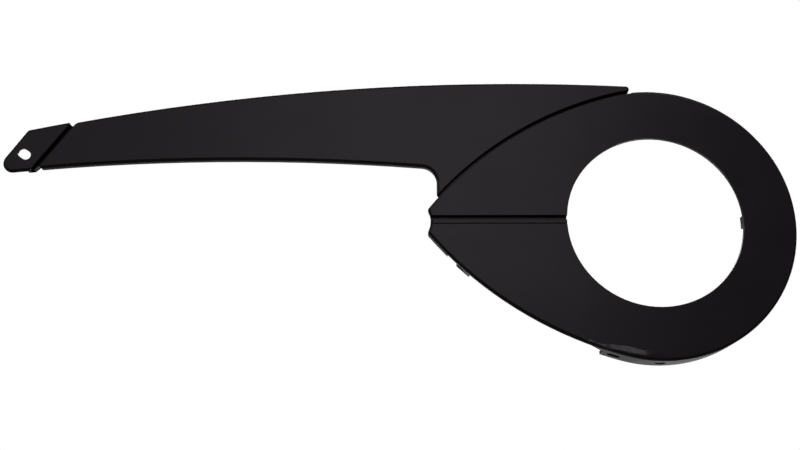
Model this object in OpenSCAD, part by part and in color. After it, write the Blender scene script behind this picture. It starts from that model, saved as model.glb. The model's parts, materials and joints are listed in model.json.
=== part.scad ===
// Bicycle chain guard, moulded in one piece: a ring round the chainring, a long arm over
// the upper chain run and a flat tab that is screwed to the frame at the rear.
// X runs forward along the bicycle, Y runs in from the face to the bicycle, Z is up.
// The crank axis is the Y axis, and the face lies at Y = 0.

/* [Ring] */
// Radius of the opening round the crank
opening_r = 64; // [58:0.5:70]
// Width of the ring's face between the opening and the rim
ring_w = 38.3; // [34:0.1:44]
// Height of the collar behind the edge of the opening, from the face
collar_d = 3; // [2.8:0.1:6]
// Thickness of the collar
collar_t = 2.2; // [1.6:0.1:3]
// Width of the lug behind the front of the opening
lug_w = 8.5; // [6:0.5:12]
// Depth of the lug behind the front of the opening, from the face
lug_d = 8; // [6:0.5:12]

/* [Pointed end of the ring] */
// Radius of the ring's upper flank, along the curved groove
flank_upper_r = 263.7; // [255:0.1:275]
// Direction in which the upper flank leaves the rim, in degrees
flank_upper_angle = 104.3; // [102:0.1:107]
// Radius of the ring's lower flank
flank_lower_r = 274.2; // [260:1:290]
// Direction in which the lower flank leaves the rim, in degrees
flank_lower_angle = -105.5; // [-108:0.5:-103]
// Radius of the two noses of the pointed end
nose_r = 3; // [2.6:0.1:4]
// Height of the upper nose's middle
nose_upper_z = 8.4; // [8:0.1:15]
// Height of the lower nose's middle
nose_lower_z = -8.3; // [-15:0.1:-5]
// Radius of the hollow between the noses
hollow_r = 16; // [12:1:20]

/* [Arm] */
// Radius of the arm's upper edge
arm_upper_r = 1708; // [1600:10:1800]
// Rise of the upper edge's highest point above the ring's rim
arm_rise = 6.9; // [5:0.1:12]
// Distance back from the crank axis to that highest point
arm_upper_back = 103.4; // [95:0.5:112]
// Radius of the arm's lower edge
arm_lower_r = 1691; // [1600:1:1750]
// Height of the lower edge at its highest point
arm_lower_z = 47.5; // [44:0.1:50]
// Distance back from the crank axis to that highest point
arm_lower_back = 305.9; // [298:0.1:320]
// Distance back from the crank axis to the arm's front tip, above the ring
tip_back = 12.2; // [11:0.1:16]
// Distance back from the crank axis to the arm's heel, in front of the pointed end
heel_back = 158.5; // [156.5:0.1:159.2]
// Depth to which the heel's lowest point reaches into the upper flank
heel_lap = 0.8; // [0:0.1:1.1]
// Radius of the fillet between the lower edge and the heel
heel_fillet_r = 12; // [8:0.5:15]

/* [Fixing tab] */
// Distance back from the crank axis to the end of the tab
tab_back = 480.6; // [476:0.1:486]
// Radius of the tab's end
tab_end_r = 7.6; // [6.6:0.1:8.6]
// Distance back to the tab's upper corner
tab_corner_back = 462.8; // [461:0.1:466]
// Radius of the tab's upper corner
tab_corner_r = 3; // [2.6:0.1:5]
// Width by which the tab's edges stand out past the arm's
tab_out = 1.1; // [0.5:0.1:1.6]
// Distance back to the middle of the slot
slot_back = 465.1; // [463:0.1:466]
// Height of the middle of the slot
slot_z = 52.3; // [50:0.1:53]
// Length of the slot
slot_l = 10.4; // [9:0.1:12]
// Width of the slot
slot_w = 7.1; // [5.2:0.1:8]
// Slope of the slot, down to the front, in degrees
slot_angle = -35; // [-45:1:-25]

/* [Walls] */
// Thickness of the face
plate_t = 2.4; // [2.3:0.1:3]
// Thickness of the skirt and the rims
wall = 2; // [1.6:0.1:2.4]
// Radius of the rounded edge round the face
edge_r = 2.2; // [1:0.1:2.3]
// Depth of the skirt round the ring and over the arm, from the face
skirt_d = 22; // [18:0.5:28]
// Depth of the flange under the arm, from the face
flange_d = 5.6; // [4.5:0.1:8]
// Depth of the rim at the pointed end, from the face
point_rim_d = 8; // [6:0.5:10]
// Depth of the low rim where the lower chain run comes out, from the face
low_rim_d = 3.8; // [3.2:0.1:5]
// Distance back from the crank axis to the end of the deep skirt
skirt_end_back = 42; // [40:0.5:46]
// Depth to which the skirt's ramp rises before the skirt ends
ramp_d = 10; // [7:0.5:16]
// Length of that ramp
ramp_l = 9; // [6:0.5:14]
// Distance back from the crank axis to the front of the rim at the pointed end
point_rim_back = 151; // [148:0.5:154]

/* [Grooves] */
// Width of the shadow grooves
groove_w = 2.5; // [1.6:0.1:3]
// Depth of the shadow grooves
groove_d = 4.6; // [3:0.1:4.8]
// Thickness of the floor of the grooves
groove_floor_t = 1.2; // [1:0.1:2]
// Distance of the curved groove's middle outside the ring's rim and upper flank
groove_out = 0.1; // [0:0.1:0.8]
// Radius of the grooves' lips
lip_r = 0.4; // [0.2:0.1:0.6]
// Radius of the arm's lip at the groove before the tab
arm_lip_r = 1.8; // [1:0.1:2]
// Depth of the notch where the groove before the tab runs out at the arm's upper edge
upper_notch_d = 3.1; // [2.2:0.1:3.6]
// Depth of the notch where it runs out at the arm's lower edge
lower_notch_d = 1.9; // [1.6:0.1:3.6]
// Distance back from the crank axis to the middle of the groove before the tab
tab_groove_back = 444.5; // [441:0.1:447]
// Height of the middle of the groove before the tab
tab_groove_z = 59.1; // [57:0.1:61]
// Slope of the groove before the tab, in degrees
tab_groove_angle = 54.5; // [50:0.5:60]

/* [Split] */
// Height of the middle of the split in the ring
split_z = 2.4; // [1.6:0.1:4]
// Width of the split
split_w = 3.2; // [1.6:0.1:3.6]
// Overlap of the lap behind the upper side of the split
lap_over = 4; // [3:0.5:6]
// Thickness of the lap
lap_t = 1.4; // [1.2:0.1:2]
// Clearance between the lap and what it lies behind
lap_gap = 1.4; // [0.3:0.1:1.6]
// Depth of the lap's foot below the split
lap_foot = 7; // [6:0.5:10]
// Height of the fine line under the split
line_z = -2; // [-3:0.1:-1]
// Width of the fine line under the split
line_w = 0.7; // [0.5:0.1:1]
// Depth of the fine line under the split
line_d = 1.2; // [0.8:0.1:1.6]

/* [Slots of the skirt] */
// Direction from the crank axis to the rear slot, in degrees
rear_slot_angle = -109.3; // [-110:0.1:-106]
// Length of the rear slot
rear_slot_l = 9.6; // [8:0.1:11]
// Direction from the crank axis to the front slot, in degrees
front_slot_angle = -90.7; // [-94:0.1:-84]
// Length of the front slot
front_slot_l = 7.8; // [7.4:0.1:9]
// Width of both slots
skirt_slot_w = 6.6; // [4:0.1:7.2]
// Depth of the middle of the slots, from the face
skirt_slot_d = 12.6; // [11:0.1:17]

/* [Eye at the lower flank] */
// Direction from the centre of the lower flank to the eye, in degrees
eye_angle = -132.8; // [-136:0.1:-130]
// Length of the eye along the flank
eye_l = 12.2; // [11.6:0.1:14]
// Depth of the eye, from the face
eye_d = 10.5; // [9:0.5:13]
// Length of the slot in the eye
eye_slot_l = 6.4; // [5:0.1:6.8]
// Width of the slot in the eye
eye_slot_w = 4.4; // [2.6:0.1:4.8]
// Distance of the slot's middle behind the middle of the eye
eye_slot_back = 2; // [0:0.1:2]

/* [Hidden] */

// Greatest distance between a round edge and its straight steps
step_error = 0.04;
// Greatest distance between circles that count as touching
touch_error = 0.001;
// Overrun of cuts past the faces that they open
over = 1;
// Radius of the inner corners where two edges of the outline meet
notch_r = 0.8;
// Radius that is left inside a corner of the outline behind its wall
inner_r = 0.2;
// Steps of the rounded edge
edge_steps = 4;
// Steps of a groove's lip
lip_steps = 3;
// Steps of a full circle in round shapes and in the arm's long edge
round_fn = 96;
big_fn = 1440;

rim_r = opening_r + ring_w;
axis = [0, 0];
arm_upper_z = rim_r + arm_rise;

// Centre and radius of each circle that the outline follows, anticlockwise from the ring.
// A hollow has a radius below zero.
arm_upper = [[-arm_upper_back, arm_upper_z - arm_upper_r], arm_upper_r];
arm_lower = [[-arm_lower_back, arm_lower_z - arm_lower_r], -arm_lower_r];
flank_upper = [leaving(flank_upper_angle, flank_upper_r), flank_upper_r];
flank_lower = [leaving(flank_lower_angle, flank_lower_r), flank_lower_r];
ring = [axis, rim_r];
corner_r = max(wall, edge_r) + inner_r;
tab_upper = [arm_upper[0], arm_upper_r + tab_out];
tab_lower = [arm_lower[0], tab_out - arm_lower_r];
tip = [within(arm_upper, corner_r, -tip_back - corner_r), corner_r];
tab_corner = [within(tab_upper, tab_corner_r, -tab_corner_back), tab_corner_r];
tab_end = [within(tab_lower, tab_end_r, tab_end_r - tab_back), tab_end_r];
heel_fillet = [within(arm_lower, -heel_fillet_r, -heel_back - heel_fillet_r), -heel_fillet_r];
heel_z = within(flank_upper, 0, corner_r - heel_back).y - heel_lap;
heel = [[corner_r - heel_back, heel_z + corner_r], corner_r];
nose_upper = [behind(flank_upper, nose_r, nose_upper_z), nose_r];
nose_lower = [behind(flank_lower, nose_r, nose_lower_z), nose_r];
// Distance back from the crank axis to the pointed end
point_back = nose_r - min(nose_upper[0].x, nose_lower[0].x);

// Ends of the middle of the arm's lip at the groove before the tab, at the bottoms of the
// groove's notches
tab_groove = [-tab_groove_back, tab_groove_z];
tab_groove_way = [cos(tab_groove_angle), sin(tab_groove_angle)];
upper_notch = lip_at([arm_upper[0], arm_upper_r - upper_notch_d]);
lower_notch = lip_at([arm_lower[0], arm_lower_r + lower_notch_d]);
// Half of the length over which an edge steps out from the arm to the tab, within a notch
step_l = sqrt(pow(corner_r + notch_r, 2) - pow(corner_r + notch_r - tab_out, 2)) / 2;
upper_step = [within(arm_upper, -notch_r, upper_notch.x + step_l), -notch_r];
lower_step = [within(tab_lower, corner_r, lower_notch.x - step_l), corner_r];

outline_circles = [
    ring,
    [between(ring, tip, -notch_r), -notch_r],
    tip,
    arm_upper,
    upper_step,
    [between(upper_step, tab_upper, corner_r), corner_r],
    tab_upper,
    tab_corner,
    tab_end,
    tab_lower,
    lower_step,
    [between(arm_lower, lower_step, -notch_r), -notch_r],
    arm_lower,
    heel_fillet,
    heel,
    [between(heel, flank_upper, -notch_r), -notch_r],
    flank_upper,
    nose_upper,
    [between(nose_upper, nose_lower, -hollow_r), -hollow_r],
    nose_lower,
    flank_lower
];

// Middle of the slot in the eye, from the face
eye_slot_d = eye_d - wall / 2 - eye_slot_w / 2;
// Half of the length over which the straight groove is cut
tab_way_l = arm_upper_z / 3;
// Width and depth of the thicker wall behind a groove
back_w = groove_w + 2 * groove_floor_t;
back_d = groove_d + groove_floor_t;
// Half width of the curved groove at each depth, with rounded lips
curved_groove = concat(
    [[groove_w / 2 + lip_r, -over]],
    [for (i = [0 : lip_steps]) let (a = 90 * i / lip_steps)
        [groove_w / 2 + lip_r * (1 - sin(a)), lip_r * (1 - cos(a))]],
    [[groove_w / 2, groove_d]]
);
// Length by which the curved groove runs past its ends
run_out = 1.6;
// One radian, in degrees
radian = 180 / PI;
// Directions in which the curved groove runs out, from the centre of the upper flank at the
// heel and from the crank axis at the tip
flank_end_angle = 180 - asin((heel_z - flank_upper[0].y) / flank_upper_r)
    + run_out / flank_upper_r * radian;
tip_angle = 90 + asin(tip_back / rim_r) - run_out / rim_r * radian;

// Centre of a flank that leaves the rim smoothly in a direction
function leaving(angle, r) = (rim_r - r) * [cos(angle), sin(angle)];

// Centre, at the distance x, of a circle of radius r that touches a big circle from within
function within(big, r, x) =
    let (reach = big[1] - r, across = x - big[0].x)
    [x, big[0].y + sqrt(reach * reach - across * across)];

// Centre, at the height z, of a circle of radius r that touches a big circle from within, at
// the rear
function behind(big, r, z) =
    let (reach = big[1] - r, up = z - big[0].y)
    [big[0].x - sqrt(reach * reach - up * up), z];

// Point where the arm's lip at the groove before the tab crosses a circle
function lip_at(circle) =
    let (
        lip_out = (groove_w + arm_lip_r) / 2,
        lip = tab_groove + lip_out * [tab_groove_way.y, -tab_groove_way.x],
        f = lip - circle[0],
        s = f * tab_groove_way
    )
    lip + (sqrt(s * s - f * f + circle[1] * circle[1]) - s) * tab_groove_way;

// Centre of a circle of radius r that touches the circles a and b, on the right of the way
// from a to b
function between(a, b, r) =
    let (
        reach_a = abs(a[1] - r),
        reach_b = abs(b[1] - r),
        gap = b[0] - a[0],
        d = norm(gap),
        along = (reach_a * reach_a - reach_b * reach_b + d * d) / (2 * d),
        aside = sqrt(max(0, reach_a * reach_a - along * along)),
        u = gap / d
    )
    a[0] + along * u + aside * [u.y, -u.x];

// Direction of the outward normal where the outline passes from the circle a to the circle b
function passing(a, b) =
    let (gap = b[0] - a[0], share = (a[1] - b[1]) / norm(gap))
    atan2(gap.y, gap.x) - acos(max(-1, min(1, share)));

// Angle brought into one full turn
function turned(angle) = angle - 360 * floor(angle / 360);

// Whether the circles a and b touch, so that their arcs share a point
function touching(a, b) = abs(norm(b[0] - a[0]) - abs(a[1] - b[1])) < touch_error;

// Points of one circle's arc between two normals, set in from the outline, from step first
function arc_points(circle, from, to, inset, first) =
    let (
        r = circle[1],
        sweep = r > 0 ? turned(to - from) : -turned(from - to),
        steps = max(2, ceil(abs(sweep) / (2 * acos(1 - step_error / abs(r)))))
    )
    [for (i = [first : steps]) let (a = from + sweep * i / steps)
        circle[0] + (r - inset) * [cos(a), sin(a)]];

// Points of the outline, set in by an equal distance all round
function outline(inset = 0) =
    let (n = len(outline_circles))
    [for (i = [0 : n - 1])
        let (
            last = outline_circles[(i + n - 1) % n],
            this = outline_circles[i],
            next = outline_circles[(i + 1) % n],
            first = touching(last, this) ? 1 : 0
        )
        each arc_points(this, passing(last, this), passing(this, next), inset, first)];

// Outline as a ring of points at a depth behind the face
function outline_ring(inset, depth) = [for (p = outline(inset)) [p.x, depth, p.y]];

// Solid ring whose section of inset and depth runs once round the outline
module round_outline(section) {
    n = len(outline());
    m = len(section);
    polyhedron(
        points = [for (s = section) each outline_ring(s[0], s[1])],
        faces = [for (k = [0 : m - 1], i = [0 : n - 1])
            let (j = (i + 1) % n, next = (k + 1) % m)
            [k * n + i, k * n + j, next * n + j, next * n + i]]
    );
}

// A flat shape stood up as a slab between two depths behind the face
module slab(from, to) {
    rotate([90, 0, 0]) translate([0, 0, -to]) linear_extrude(to - from) children();
}

// Points at a distance outside the middle of the curved groove: round the rim from the arm's
// tip and on along the upper flank
function curved_way(out) = concat(
    arc_points(ring, tip_angle, flank_upper_angle, -groove_out - out, 0),
    arc_points(flank_upper, flank_upper_angle, flank_end_angle, -groove_out - out, 1)
);

// Solid along the curved groove, from its half width at each depth
module along_curve(section) {
    n = len(curved_way(0));
    m = len(section);
    loop = concat(section, [for (k = [m - 1 : -1 : 0]) [-section[k][0], section[k][1]]]);
    polyhedron(
        points = [for (s = loop, p = curved_way(s[0])) [p.x, s[1], p.y]],
        faces = concat(
            [for (k = [0 : 2 * m - 1], i = [0 : n - 2])
                let (next = (k + 1) % (2 * m))
                [k * n + i, k * n + i + 1, next * n + i + 1, next * n + i]],
            [for (k = [0 : m - 2], far = [0, 1])
                let (
                    from = far ? k + 1 : k,
                    to = far ? k : k + 1,
                    end = far * (n - 1)
                )
                [from * n, to * n, (2 * m - 1 - to) * n, (2 * m - 1 - from) * n]
                    + end * [1, 1, 1, 1]]
        )
    );
}

// A section of height and depth, drawn along X from one distance to another
module drawn(from, to) {
    translate([from, 0, 0])
        rotate([0, 90, 0])
            linear_extrude(to - from) mirror([1, 0]) children();
}

// Quarter of a circle as points, from the direction a
function quarter(centre, r, a) =
    [for (i = [0 : lip_steps]) let (t = a + 90 * i / lip_steps) centre + r * [cos(t), sin(t)]];

// Section of a groove with rounded lips, open towards the face
module groove_section(w, d, lip_below = lip_r, lip_above = lip_r) {
    polygon(concat(
        [[-w / 2 - lip_below, -over]],
        quarter([-w / 2 - lip_below, lip_below], lip_below, -90),
        [[-w / 2, d], [w / 2, d]],
        quarter([w / 2 + lip_above, lip_above], lip_above, 180),
        [[w / 2 + lip_above, -over]]
    ));
}

// Section of the thicker wall behind a groove
module back_section() {
    translate([-back_w / 2, plate_t / 2]) square([back_w, back_d - plate_t / 2]);
}

// Way of the straight groove before the fixing tab
module tab_way() {
    translate([tab_groove.x, 0, tab_groove.y])
        rotate([0, -tab_groove_angle, 0])
            drawn(-tab_way_l, tab_way_l) children();
}

// Notch that runs out from a point, upwards or downwards
module notch(bottom, side) {
    reach = 2 * upper_notch_d;
    translate(bottom) polygon([[0, 0], [reach, side * reach], [-reach, side * reach]]);
}

// Slot with round ends along X
module round_slot(l, w) {
    for (side = [-1, 1]) translate([side * (l - w) / 2, 0]) circle(w / 2, $fn = round_fn);
    translate([(w - l) / 2, -w / 2]) square([l - w, w]);
}

// What the rounded edge takes off round the face
module edge_rounding() {
    outside = -notch_r / 2;
    round_outline(concat(
        [[edge_r, -over], [outside, -over], [outside, edge_r]],
        [for (i = [0 : edge_steps]) let (a = 90 * i / edge_steps)
            [edge_r * (1 - cos(a)), edge_r * (1 - sin(a))]]
    ));
}

// Face and full skirt, hollow behind
module pan() {
    difference() {
        slab(0, skirt_d) polygon(outline());
        slab(plate_t, skirt_d + over) polygon(outline(wall));
        edge_rounding();
    }
}

// What the tab leaves of the skirt: nothing behind its plate and behind the groove's wall
module tab_relief() {
    for (cut = [[plate_t, back_w / 2], [back_d, -groove_w / 2]])
        slab(cut[0], skirt_d + over)
            translate(tab_groove)
                rotate(tab_groove_angle)
                    translate([-tab_back / 2, cut[1]]) square([tab_back, tab_back]);
}

// What is open under the arm, below the flange along its lower edge
module arm_relief() {
    slab(flange_d, skirt_d + over)
        intersection() {
            translate([-tab_back - over, heel_z])
                square([tab_back + over - point_rim_back, arm_upper_z]);
            translate(arm_upper[0]) circle(arm_upper_r - 4 * wall, $fn = big_fn);
        }
}

// Block round the eye on the lower flank, behind a depth
module eye_block(from) {
    slab(from, skirt_d + 2 * over)
        translate(flank_lower[0])
            rotate(eye_angle)
                translate([flank_lower_r - 3 * wall, -eye_l / 2]) square([5 * wall, eye_l]);
}

// What is open where the lower chain run leaves the ring, with the ramp up to the skirt
module chain_relief() {
    difference() {
        translate([0, 0, -rim_r - over])
            linear_extrude(rim_r + over + heel_z)
                polygon([
                    [-tab_back, point_rim_d],
                    [-point_rim_back, point_rim_d],
                    [-point_rim_back, low_rim_d],
                    [-skirt_end_back - ramp_l, low_rim_d],
                    [-skirt_end_back, ramp_d],
                    [-skirt_end_back, skirt_d + over],
                    [-tab_back, skirt_d + over]
                ]);
        eye_block(0);
    }
    eye_block(eye_d);
}

// Low collar behind the edge of the opening, with the lug at its front
module collar() {
    difference() {
        union() {
            slab(plate_t / 2, collar_d) circle(opening_r + collar_t, $fn = round_fn);
            intersection() {
                slab(plate_t / 2, lug_d) circle(opening_r + collar_t, $fn = round_fn);
                translate([0, 0, -lug_w / 2]) cube([rim_r, lug_d, lug_w]);
            }
        }
        opening();
    }
}

// Opening round the crank
module opening() {
    slab(-over, skirt_d + over) circle(opening_r, $fn = round_fn);
}

// Thicker walls behind the grooves, kept within the outline
module groove_backs() {
    intersection() {
        union() {
            along_curve([[back_w / 2, plate_t / 2], [back_w / 2, back_d]]);
            tab_way() back_section();
        }
        slab(plate_t / 2, skirt_d) polygon(outline(wall / 2));
    }
}

// The shadow grooves and their mouths
module grooves() {
    along_curve(curved_groove);
    tab_way() groove_section(groove_w, groove_d, arm_lip_r, 0);
    slab(-over, skirt_d + over) {
        notch(upper_notch, 1);
        notch(lower_notch, -1);
    }
}

// Split through the ring, with room behind its upper side for the lap
module split() {
    drawn(-point_back - over, over - opening_r)
        translate([split_z, 0]) groove_section(split_w, point_rim_d + over);
    slab(plate_t, point_rim_d + over)
        translate([-point_back - over, split_z - split_w / 2])
            square([point_back + 2 * over - opening_r, split_w + lap_over + lap_gap]);
}

// Lap on the lower side of the split, which reaches behind the upper side
module lap() {
    lap_back = plate_t + lap_gap + lap_t;
    low = split_z - split_w / 2;
    intersection() {
        union() {
            slab(plate_t + lap_gap, lap_back)
                translate([-point_back, low - lap_foot])
                    square([point_back, lap_foot + split_w + lap_over]);
            slab(plate_t / 2, lap_back)
                translate([-point_back, low - lap_foot]) square([point_back, lap_foot]);
        }
        slab(0, skirt_d) polygon(outline(inner_r));
    }
}

// Fine line under the split
module fine_line() {
    drawn(-point_back - over, over - opening_r)
        translate([line_z, 0]) groove_section(line_w, line_d, 0, 0);
}

// Slot through the skirt of the ring, in a direction from the crank axis
module skirt_slot(angle, l) {
    rotate([0, -angle, 0])
        translate([rim_r - 2 * wall, skirt_slot_d, 0])
            rotate([90, 0, 90]) linear_extrude(3 * wall) rotate(90) round_slot(l, skirt_slot_w);
}

// Slot through the eye on the lower flank
module eye_slot() {
    translate([flank_lower[0].x, eye_slot_d, flank_lower[0].y])
        rotate([0, -eye_angle, 0])
            translate([flank_lower_r - 2 * wall, 0, -eye_slot_back])
                rotate([90, 0, 90])
                    linear_extrude(3 * wall) rotate(90) round_slot(eye_slot_l, eye_slot_w);
}

// Slot of the fixing tab
module tab_slot() {
    slab(-over, plate_t + over)
        translate([-slot_back, slot_z]) rotate(slot_angle) round_slot(slot_l, slot_w);
}

module chain_guard() {
    color("#1f1e20")
        difference() {
            union() {
                difference() {
                    union() {
                        difference() {
                            pan();
                            tab_relief();
                            arm_relief();
                            chain_relief();
                        }
                        collar();
                        groove_backs();
                    }
                    split();
                }
                lap();
            }
            opening();
            grooves();
            fine_line();
            skirt_slot(rear_slot_angle, rear_slot_l);
            skirt_slot(front_slot_angle, front_slot_l);
            eye_slot();
            tab_slot();
        }
}

chain_guard();
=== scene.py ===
"""Satin black chain guard of a bicycle: its moulded shell, plastic finish and studio."""

import json
import math

import bpy
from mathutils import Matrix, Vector

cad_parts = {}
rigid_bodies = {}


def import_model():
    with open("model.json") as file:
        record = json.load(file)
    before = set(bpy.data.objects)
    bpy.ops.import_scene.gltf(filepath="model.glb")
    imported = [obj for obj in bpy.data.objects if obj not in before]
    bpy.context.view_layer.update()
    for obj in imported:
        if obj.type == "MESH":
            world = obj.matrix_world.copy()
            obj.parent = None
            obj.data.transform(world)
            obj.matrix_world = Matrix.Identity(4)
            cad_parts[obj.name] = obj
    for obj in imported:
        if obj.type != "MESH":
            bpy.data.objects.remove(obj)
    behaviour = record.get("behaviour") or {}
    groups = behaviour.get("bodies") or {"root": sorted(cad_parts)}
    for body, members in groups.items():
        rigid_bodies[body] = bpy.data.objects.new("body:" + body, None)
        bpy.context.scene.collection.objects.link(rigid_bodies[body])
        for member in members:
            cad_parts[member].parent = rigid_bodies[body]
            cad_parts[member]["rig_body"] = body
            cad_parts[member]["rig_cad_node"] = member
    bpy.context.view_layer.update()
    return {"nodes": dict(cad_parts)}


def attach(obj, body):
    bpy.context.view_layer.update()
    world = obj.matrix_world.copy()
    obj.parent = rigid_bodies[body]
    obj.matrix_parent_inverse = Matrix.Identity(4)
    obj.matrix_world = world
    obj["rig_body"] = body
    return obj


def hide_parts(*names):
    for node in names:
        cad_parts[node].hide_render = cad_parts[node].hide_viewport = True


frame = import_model()

# Photograph's camera: square to the bicycle, below the guard and tilted up
LENS = 45.936
CAMERA_PLACE = (-0.1808, -0.7093, -0.2188)
CAMERA_TURN = (math.radians(106.899), math.radians(-0.058), math.radians(0.364))
NEAREST_SEEN = 0.01

# Moulded edges, which are never quite sharp
WELD = 2e-6
FLAT_ANGLE = math.radians(0.1)
EDGE_ANGLE = math.radians(32)
EDGE_RADIUS = 0.00012
EDGE_STEPS = 2

# Large flat faces lead the shading of the small ones beside them
LARGE_FACE_WEIGHT = 100
LARGE_FACE_MARGIN = 0.00015

# Swell along the lower edge of the ring, where the moulding cooled last: an arc,
# thin at its rear end and fading out at its front end
SWELL_CENTRE = (0.0039, 0, 0.0413)
SWELL_INNER = 0.1370
SWELL_OUTER = 0.1406
SWELL_HEIGHT = 0.00147
SWELL_REAR = (-0.058, -0.052)
SWELL_THIN = (-0.050, -0.030)
SWELL_FRONT = (-0.022, 0.001)
SWELL_DEPTH = (0.0008, 0.0016)
SWELL_NARROWING = 0.0036
SWELL_WANDER = 0.003

# Black plastic: sizes of its patterns, its colours, roughness and heights
CLOUD_SIZE = (0.045, 0.045, 0.045)
FLOW_SIZE = (0.09, 0.02, 0.0022)
FLOW_TURN = (0, math.radians(-3), 0)
GRAIN_SIZE = (0.00045, 0.00045, 0.00045)
WAVE_SIZE = (0.07, 0.07, 0.035)
WANDER_SIZE = (0.012, 0.012, 0.012)
DARK_PLASTIC = (0.0115, 0.0095, 0.0112, 1)
PALE_PLASTIC = (0.0140, 0.0116, 0.0137, 1)
CLOUD_SHARE = 0.6
FLOW_SHARE = 0.4
PATCH_CONTRAST = (0.3, 0.7)
ROUGHNESS = 0.30
CLOUD_ROUGHNESS = 0.10
FLOW_ROUGHNESS = 0.06
GRAIN_ROUGHNESS = 0.06
WAVE_HEIGHT = 0.0006
WAVE_STRENGTH = 0.6
STREAK_HEIGHT = 0.000012
GRAIN_HEIGHT = 0.000012
PLASTIC_IOR = 1.48
PLASTIC_TINT = (1.0, 0.88, 0.98, 1)

# Studio
GUARD_MIDDLE = (-0.18, 0, 0)
FLOOR_HEIGHT = -0.32
FLOOR_SIZE = 9.0
NEAR_FLOOR_END = 0.95
FAR_FLOOR_START = 1.15
# Painted shade: the floor near the guard is dark wherever reflections and bounced light see
# it, and pale further back
NEAR_FLOOR_PAINTED_SHADE = (0.14, 0.14, 0.14, 1)
FAR_FLOOR = (0.8, 0.8, 0.8, 1)
MATT_GREY = (0.5, 0.5, 0.5, 1)
FLOOR_ROUGHNESS = 0.9
WHITE_SHARE = 0.7
WHITE = (1, 1, 1, 1)
STUDIO_LIGHT = 0.118

# Soft lamps: name, place, what each points at, width and height, power
LAMPS = (
    ("rear_lamp", (-1.2, 1.4, 1.0), GUARD_MIDDLE, (0.8, 0.8), 6),
    ("soft_lamp", (-0.14, -1.40, 0.55), GUARD_MIDDLE, (0.8, 0.9), 1.5),
    ("side_lamp", (-0.92, -1.35, 0.58), (-0.3, 0, 0), (0.8, 0.6), 0.45),
    ("glint_lamp", (0.44, -0.77, 0.98), (-0.02, 0, -0.1), (0.3, 0.3), 0.9),
    ("back_lamp", (0.35, 1.9, 1.3), (0.35, 1.7, FLOOR_HEIGHT), (2.4, 1.4), 43),
)


def alone(piece):
    """Selects one piece and nothing else."""
    bpy.ops.object.select_all(action="DESELECT")
    piece.select_set(True)
    bpy.context.view_layer.objects.active = piece


class Value:
    """What a socket of a finish gives, with the sums that finishes use."""

    def __init__(self, finish, socket):
        self.finish = finish
        self.socket = socket

    def __add__(self, other):
        return self.finish.sum("ADD", self, other)

    def __sub__(self, other):
        return self.finish.sum("SUBTRACT", self, other)

    def __rsub__(self, other):
        return self.finish.sum("SUBTRACT", other, self)

    def __mul__(self, other):
        return self.finish.sum("MULTIPLY", self, other)

    __radd__ = __add__
    __rmul__ = __mul__


class Finish:
    """Node tree of a material or of the world, empty at first."""

    def __init__(self, owner):
        owner.use_nodes = True
        self.tree = owner.node_tree
        self.tree.nodes.clear()

    def node(self, kind, settings, sockets, output=0):
        """Any node: its settings first, then the values or links of its sockets."""
        made = self.tree.nodes.new(kind)
        for name, value in settings.items():
            setattr(made, name, value)
        for name, value in sockets.items():
            if isinstance(value, Value):
                self.tree.links.new(value.socket, made.inputs[name])
            else:
                made.inputs[name].default_value = value
        return Value(self, made.outputs[output]) if made.outputs else made

    def sum(self, operation, first, second):
        """Math node on two numbers or values."""
        return self.node("ShaderNodeMath", {"operation": operation}, {0: first, 1: second})

    def place(self, size=(1, 1, 1), middle=(0, 0, 0), turn=(0, 0, 0)):
        """Object coordinates, turned and centred on a place, in steps of a size."""
        where = self.node("ShaderNodeTexCoord", {}, {}, "Object")
        return self.node(
            "ShaderNodeMapping",
            {"vector_type": "TEXTURE"},
            {"Vector": where, "Location": middle, "Rotation": turn, "Scale": size},
        )

    def along(self, axis):
        """Object coordinate along one axis."""
        return self.node("ShaderNodeSeparateXYZ", {}, {0: self.place()}, axis)

    def noise(self, size, detail=2.0, turn=(0, 0, 0)):
        """Even noise from 0 to 1 whose patches are about one size across."""
        return self.node(
            "ShaderNodeTexNoise",
            {},
            {
                "Vector": self.place(size, turn=turn),
                "Scale": 1.0,
                "Detail": detail,
                "Roughness": 0.5,
            },
            "Fac",
        )

    def between(self, value, low, high):
        """0 below low, 1 above high and smooth between them."""
        return self.node(
            "ShaderNodeMapRange",
            {"interpolation_type": "SMOOTHSTEP"},
            {"Value": value, "From Min": low, "From Max": high},
        )

    def bump(self, height, distance, strength=1.0, normal=None):
        """Bump of a height, on top of another bump if one is given."""
        sockets = {"Height": height, "Distance": distance, "Strength": strength}
        if normal:
            sockets["Normal"] = normal
        return self.node("ShaderNodeBump", {}, sockets)


def edge_swell(finish, wander):
    """Height of the shallow swell along the ring's lower edge, from 0 to 1."""
    flat_place = finish.node(
        "ShaderNodeVectorMath",
        {"operation": "MULTIPLY"},
        {0: finish.place(middle=SWELL_CENTRE), 1: (1, 0, 1)},
    )
    radius = finish.node(
        "ShaderNodeVectorMath", {"operation": "LENGTH"}, {0: flat_place}, "Value"
    )
    back = finish.along("X")
    thin = 1 - finish.between(back, *SWELL_THIN)
    depth = finish.along("Y")
    there = finish.between(back, *SWELL_REAR) * (1 - finish.between(back, *SWELL_FRONT))
    on_face = 1 - finish.between(depth, *SWELL_DEPTH)
    rise = finish.node(
        "ShaderNodeMapRange",
        {"interpolation_type": "LINEAR"},
        {
            "Value": radius - thin * SWELL_NARROWING + (wander - 0.5) * SWELL_WANDER,
            "From Min": SWELL_INNER,
            "From Max": SWELL_OUTER,
        },
    )
    return rise * (there * on_face)


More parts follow.
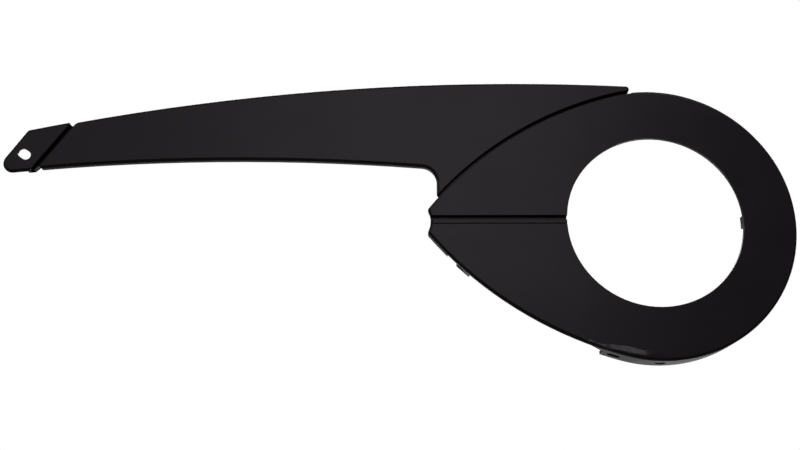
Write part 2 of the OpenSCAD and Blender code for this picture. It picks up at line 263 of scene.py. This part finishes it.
def black_plastic():
    """Satin black moulded plastic: fine grain, faint flow marks, slightly uneven gloss."""
    material = bpy.data.materials.new("satin_black_plastic")
    finish = Finish(material)
    clouds = finish.noise(CLOUD_SIZE, detail=3.0)
    flow = finish.noise(FLOW_SIZE, detail=3.0, turn=FLOW_TURN)
    grain = finish.noise(GRAIN_SIZE)
    waves = finish.noise(WAVE_SIZE, detail=1.0)
    wander = finish.noise(WANDER_SIZE)
    shade = finish.between(clouds * CLOUD_SHARE + flow * FLOW_SHARE, *PATCH_CONTRAST)
    colour = finish.node(
        "ShaderNodeMix",
        {"data_type": "RGBA"},
        {"Factor": shade, "A": DARK_PLASTIC, "B": PALE_PLASTIC},
        "Result",
    )
    gloss = (
        ROUGHNESS
        + (clouds - 0.5) * CLOUD_ROUGHNESS
        + (flow - 0.5) * FLOW_ROUGHNESS
        + (grain - 0.5) * GRAIN_ROUGHNESS
    )
    raised = finish.bump(edge_swell(finish, wander), SWELL_HEIGHT)
    wavy = finish.bump(waves, WAVE_HEIGHT, WAVE_STRENGTH, raised)
    streaked = finish.bump(flow, STREAK_HEIGHT, normal=wavy)
    grained = finish.bump(grain, GRAIN_HEIGHT, normal=streaked)
    shader = finish.node(
        "ShaderNodeBsdfPrincipled",
        {},
        {
            "Base Color": colour,
            "Roughness": gloss,
            "IOR": PLASTIC_IOR,
            "Specular Tint": PLASTIC_TINT,
            "Normal": grained,
        },
    )
    finish.node("ShaderNodeOutputMaterial", {}, {"Surface": shader})
    return material


def moulded_shell():
    """The guard in one piece, with the small round that a mould leaves on every edge."""
    node = frame["nodes"]["chain_guard"]
    shell = node.copy()
    shell.data = node.data.copy()
    shell.name = shell.data.name = "moulded_shell"
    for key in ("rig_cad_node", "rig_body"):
        del shell[key]
    shell.parent = None
    bpy.context.scene.collection.objects.link(shell)
    alone(shell)

    # Whole flat faces, cut into triangles again so that none crosses itself
    bpy.ops.mesh.customdata_custom_splitnormals_clear()
    bpy.ops.object.mode_set(mode="EDIT")
    bpy.ops.mesh.select_all(action="SELECT")
    bpy.ops.mesh.remove_doubles(threshold=WELD)
    bpy.ops.mesh.dissolve_limited(angle_limit=FLAT_ANGLE)
    bpy.ops.mesh.select_all(action="SELECT")
    bpy.ops.mesh.quads_convert_to_tris(ngon_method="BEAUTY")
    bpy.ops.object.mode_set(mode="OBJECT")
    bpy.ops.object.shade_smooth()

    # Rounds along the sharp edges
    edges = shell.modifiers.new("edges", "BEVEL")
    edges.width = EDGE_RADIUS
    edges.segments = EDGE_STEPS
    edges.angle_limit = EDGE_ANGLE
    edges.use_clamp_overlap = False
    edges.face_strength_mode = "FSTR_ALL"
    bpy.ops.object.modifier_apply(modifier="edges")
    bpy.ops.object.mode_set(mode="EDIT")
    bpy.ops.mesh.select_all(action="SELECT")
    bpy.ops.mesh.dissolve_limited(angle_limit=FLAT_ANGLE)
    bpy.ops.object.mode_set(mode="OBJECT")

    # Even shading over the flat faces and the rounds beside them
    even = shell.modifiers.new("even", "WEIGHTED_NORMAL")
    even.mode = "FACE_AREA"
    even.weight = LARGE_FACE_WEIGHT
    even.thresh = LARGE_FACE_MARGIN
    even.keep_sharp = True
    even.use_face_influence = True
    bpy.ops.object.modifier_apply(modifier="even")

    shell.data.materials.clear()
    shell.data.materials.append(black_plastic())
    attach(shell, "root")
    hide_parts("chain_guard")


def pale_floor():
    """Floor that looks white to the camera, keeps the shadow and lights the guard little; to
    reflections its near part is dark painted shade and its far part pale.
    """
    material = bpy.data.materials.new("pale_floor")
    finish = Finish(material)
    seen = finish.node("ShaderNodeLightPath", {}, {}, "Is Camera Ray")
    matt = finish.node(
        "ShaderNodeBsdfPrincipled", {}, {"Base Color": MATT_GREY, "Roughness": FLOOR_ROUGHNESS}
    )
    white = finish.node("ShaderNodeEmission", {}, {"Color": WHITE, "Strength": 1.0})
    pale = finish.node("ShaderNodeMixShader", {}, {0: WHITE_SHARE, 1: matt, 2: white})
    # Painted shade: to reflections and bounced light, the floor near the guard is dark and the
    # floor further back is pale
    far = finish.between(finish.along("Y"), NEAR_FLOOR_END, FAR_FLOOR_START)
    painted_shade_floor = finish.node("ShaderNodeBsdfDiffuse", {}, {"Color": NEAR_FLOOR_PAINTED_SHADE})
    light = finish.node("ShaderNodeBsdfDiffuse", {}, {"Color": FAR_FLOOR})
    unseen = finish.node("ShaderNodeMixShader", {}, {0: far, 1: painted_shade_floor, 2: light})
    shader = finish.node("ShaderNodeMixShader", {}, {0: seen, 1: unseen, 2: pale})
    finish.node("ShaderNodeOutputMaterial", {}, {"Surface": shader})
    return material


def studio_floor():
    """Wide flat floor under the guard."""
    across, deep, _ = GUARD_MIDDLE
    bpy.ops.mesh.primitive_plane_add(size=FLOOR_SIZE, location=(across, deep, FLOOR_HEIGHT))
    floor = bpy.context.object
    floor.name = "studio_floor"
    floor.data.materials.append(pale_floor())


def white_world():
    """White to the camera, and dim studio light on the guard."""
    world = bpy.data.worlds.new("studio")
    bpy.context.scene.world = world
    finish = Finish(world)
    seen = finish.node("ShaderNodeLightPath", {}, {}, "Is Camera Ray")
    clear = finish.node("ShaderNodeLightPath", {}, {}, "Is Transmission Ray")
    white = finish.node("ShaderNodeBackground", {}, {"Color": WHITE, "Strength": 1.0})
    dim = finish.node("ShaderNodeBackground", {}, {"Color": WHITE, "Strength": STUDIO_LIGHT})
    sky = finish.node("ShaderNodeMixShader", {}, {0: seen + clear, 1: dim, 2: white})
    finish.node("ShaderNodeOutputWorld", {}, {"Surface": sky})


def lamp(name, place, aim, size, power):
    """A soft rectangular lamp that points at a place."""
    bpy.ops.object.light_add(type="AREA", location=place)
    made = bpy.context.object
    made.name = name
    made.data.shape = "RECTANGLE"
    made.data.size, made.data.size_y = size
    made.data.energy = power
    made.rotation_euler = (Vector(aim) - Vector(place)).to_track_quat("-Z", "Y").to_euler()


def camera():
    """The photograph's camera."""
    bpy.ops.object.camera_add(location=CAMERA_PLACE, rotation=CAMERA_TURN)
    made = bpy.context.object
    made.data.lens = LENS
    made.data.clip_start = NEAREST_SEEN
    bpy.context.scene.camera = made


bpy.context.scene.view_settings.view_transform = "Standard"
camera()
moulded_shell()
studio_floor()
white_world()
for soft_lamp in LAMPS:
    lamp(*soft_lamp)
